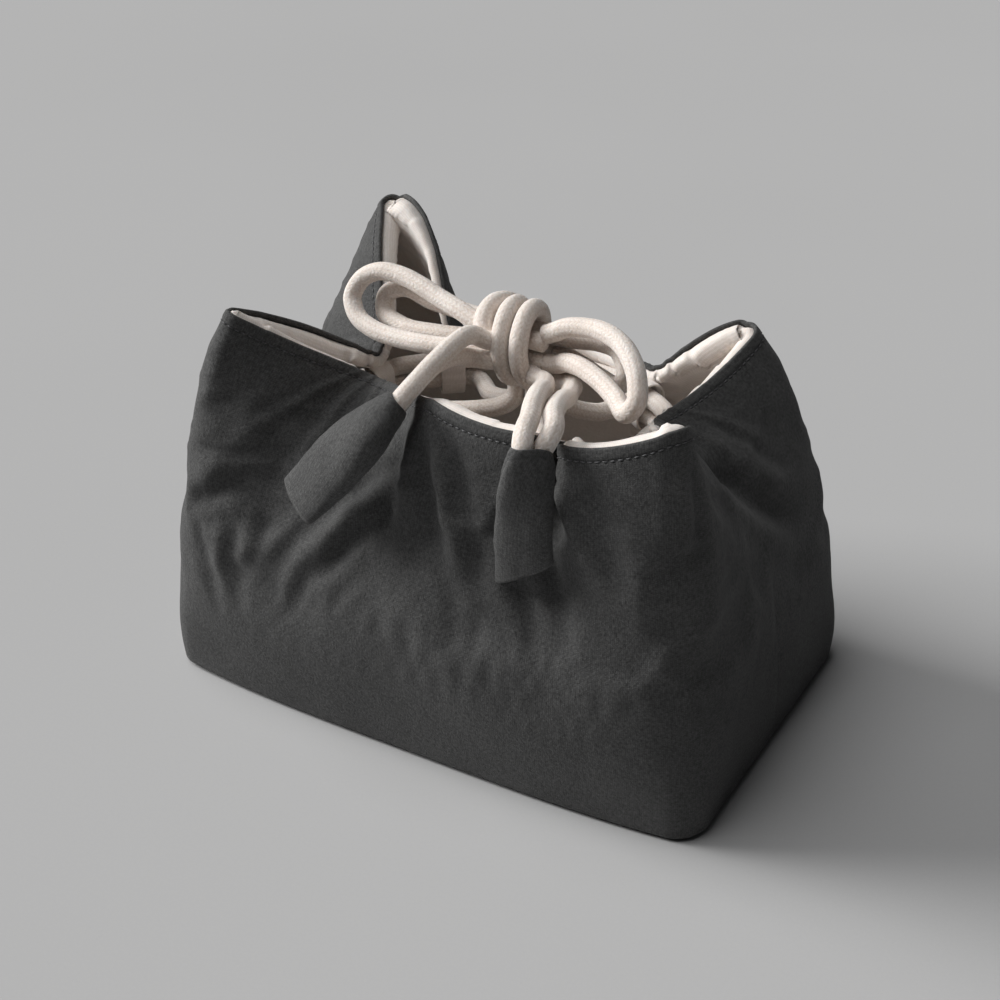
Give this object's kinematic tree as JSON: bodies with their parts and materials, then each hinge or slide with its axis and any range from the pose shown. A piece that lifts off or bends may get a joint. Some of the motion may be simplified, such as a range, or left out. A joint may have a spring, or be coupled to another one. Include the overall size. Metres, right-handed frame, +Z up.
{
  "type": "tea set storage bag",
  "caption": "Padded drawstring bag with a rectangular base, gathered mouth, cotton drawcords tied in a bow and cloth tabs on the cord ends; it holds a small tea set.",
  "frame": {"origin": "centre of the base, on the surface the bag stands on", "axes": "+X along the long side, -Y towards the side that carries the two tabs, +Z up"},
  "size_m": [0.1965, 0.1323, 0.1369],
  "materials": {
    "outer_cotton": "matte brushed cotton",
    "cream_lining": "matte cotton",
    "cotton_cord": "matte braided cotton",
    "wadding": "matte"
  },
  "bodies": {
    "bag": {"front_outer_shell": "outer_cotton", "back_outer_shell": "outer_cotton", "outer_base": "outer_cotton", "front_batting": "wadding", "back_batting": "wadding", "front_lining": "cream_lining", "back_lining": "cream_lining", "base_pad": "wadding", "lining_base": "cream_lining", "cord_loop_front_left": "cream_lining", "cord_loop_front_right": "cream_lining", "cord_loop_right": "cream_lining", "cord_loop_back_right": "cream_lining", "cord_loop_back_left": "cream_lining", "cord_loop_left": "cream_lining", "front_drawcord": "cotton_cord", "back_drawcord": "cotton_cord", "bow_knot_throat": "cotton_cord", "bow_knot_wraps": "cotton_cord", "right_tail_root_front": "cotton_cord", "right_tail_root_back": "cotton_cord"},
    "left_bow": {"left_bow_loop_outer": "cotton_cord", "left_bow_loop_inner": "cotton_cord"},
    "right_bow": {"right_bow_loop_outer": "cotton_cord", "right_bow_loop_inner": "cotton_cord"},
    "left_tail": {"left_tail_cord_front": "cotton_cord", "left_tail_cord_back": "cotton_cord", "left_tab": "outer_cotton"},
    "right_tail": {"right_tail_cord_front": "cotton_cord", "right_tail_cord_back": "cotton_cord", "right_tab": "outer_cotton"}
  },
  "joints": [
    {"name": "left_bow_lift", "type": "hinge", "parent": "bag", "child": "left_bow", "pos_m": [0.0005, -0.005, 0.1256], "axis": [0, 1, 0], "range_deg": [0, 45]},
    {"name": "right_bow_lift", "type": "hinge", "parent": "bag", "child": "right_bow", "pos_m": [0.0173, -0.005, 0.128], "axis": [0, -1, 0], "range_deg": [0, 40]},
    {"name": "left_tail_swing", "type": "hinge", "parent": "bag", "child": "left_tail", "pos_m": [0.0017, -0.015, 0.1265], "axis": [-0.9574, 0.2888, 0], "range_deg": [0, 70]},
    {"name": "right_tail_swing", "type": "hinge", "parent": "bag", "child": "right_tail", "pos_m": [0.0279, -0.0213, 0.119], "axis": [-0.8924, -0.4512, 0], "range_deg": [0, 60]}
  ]
}
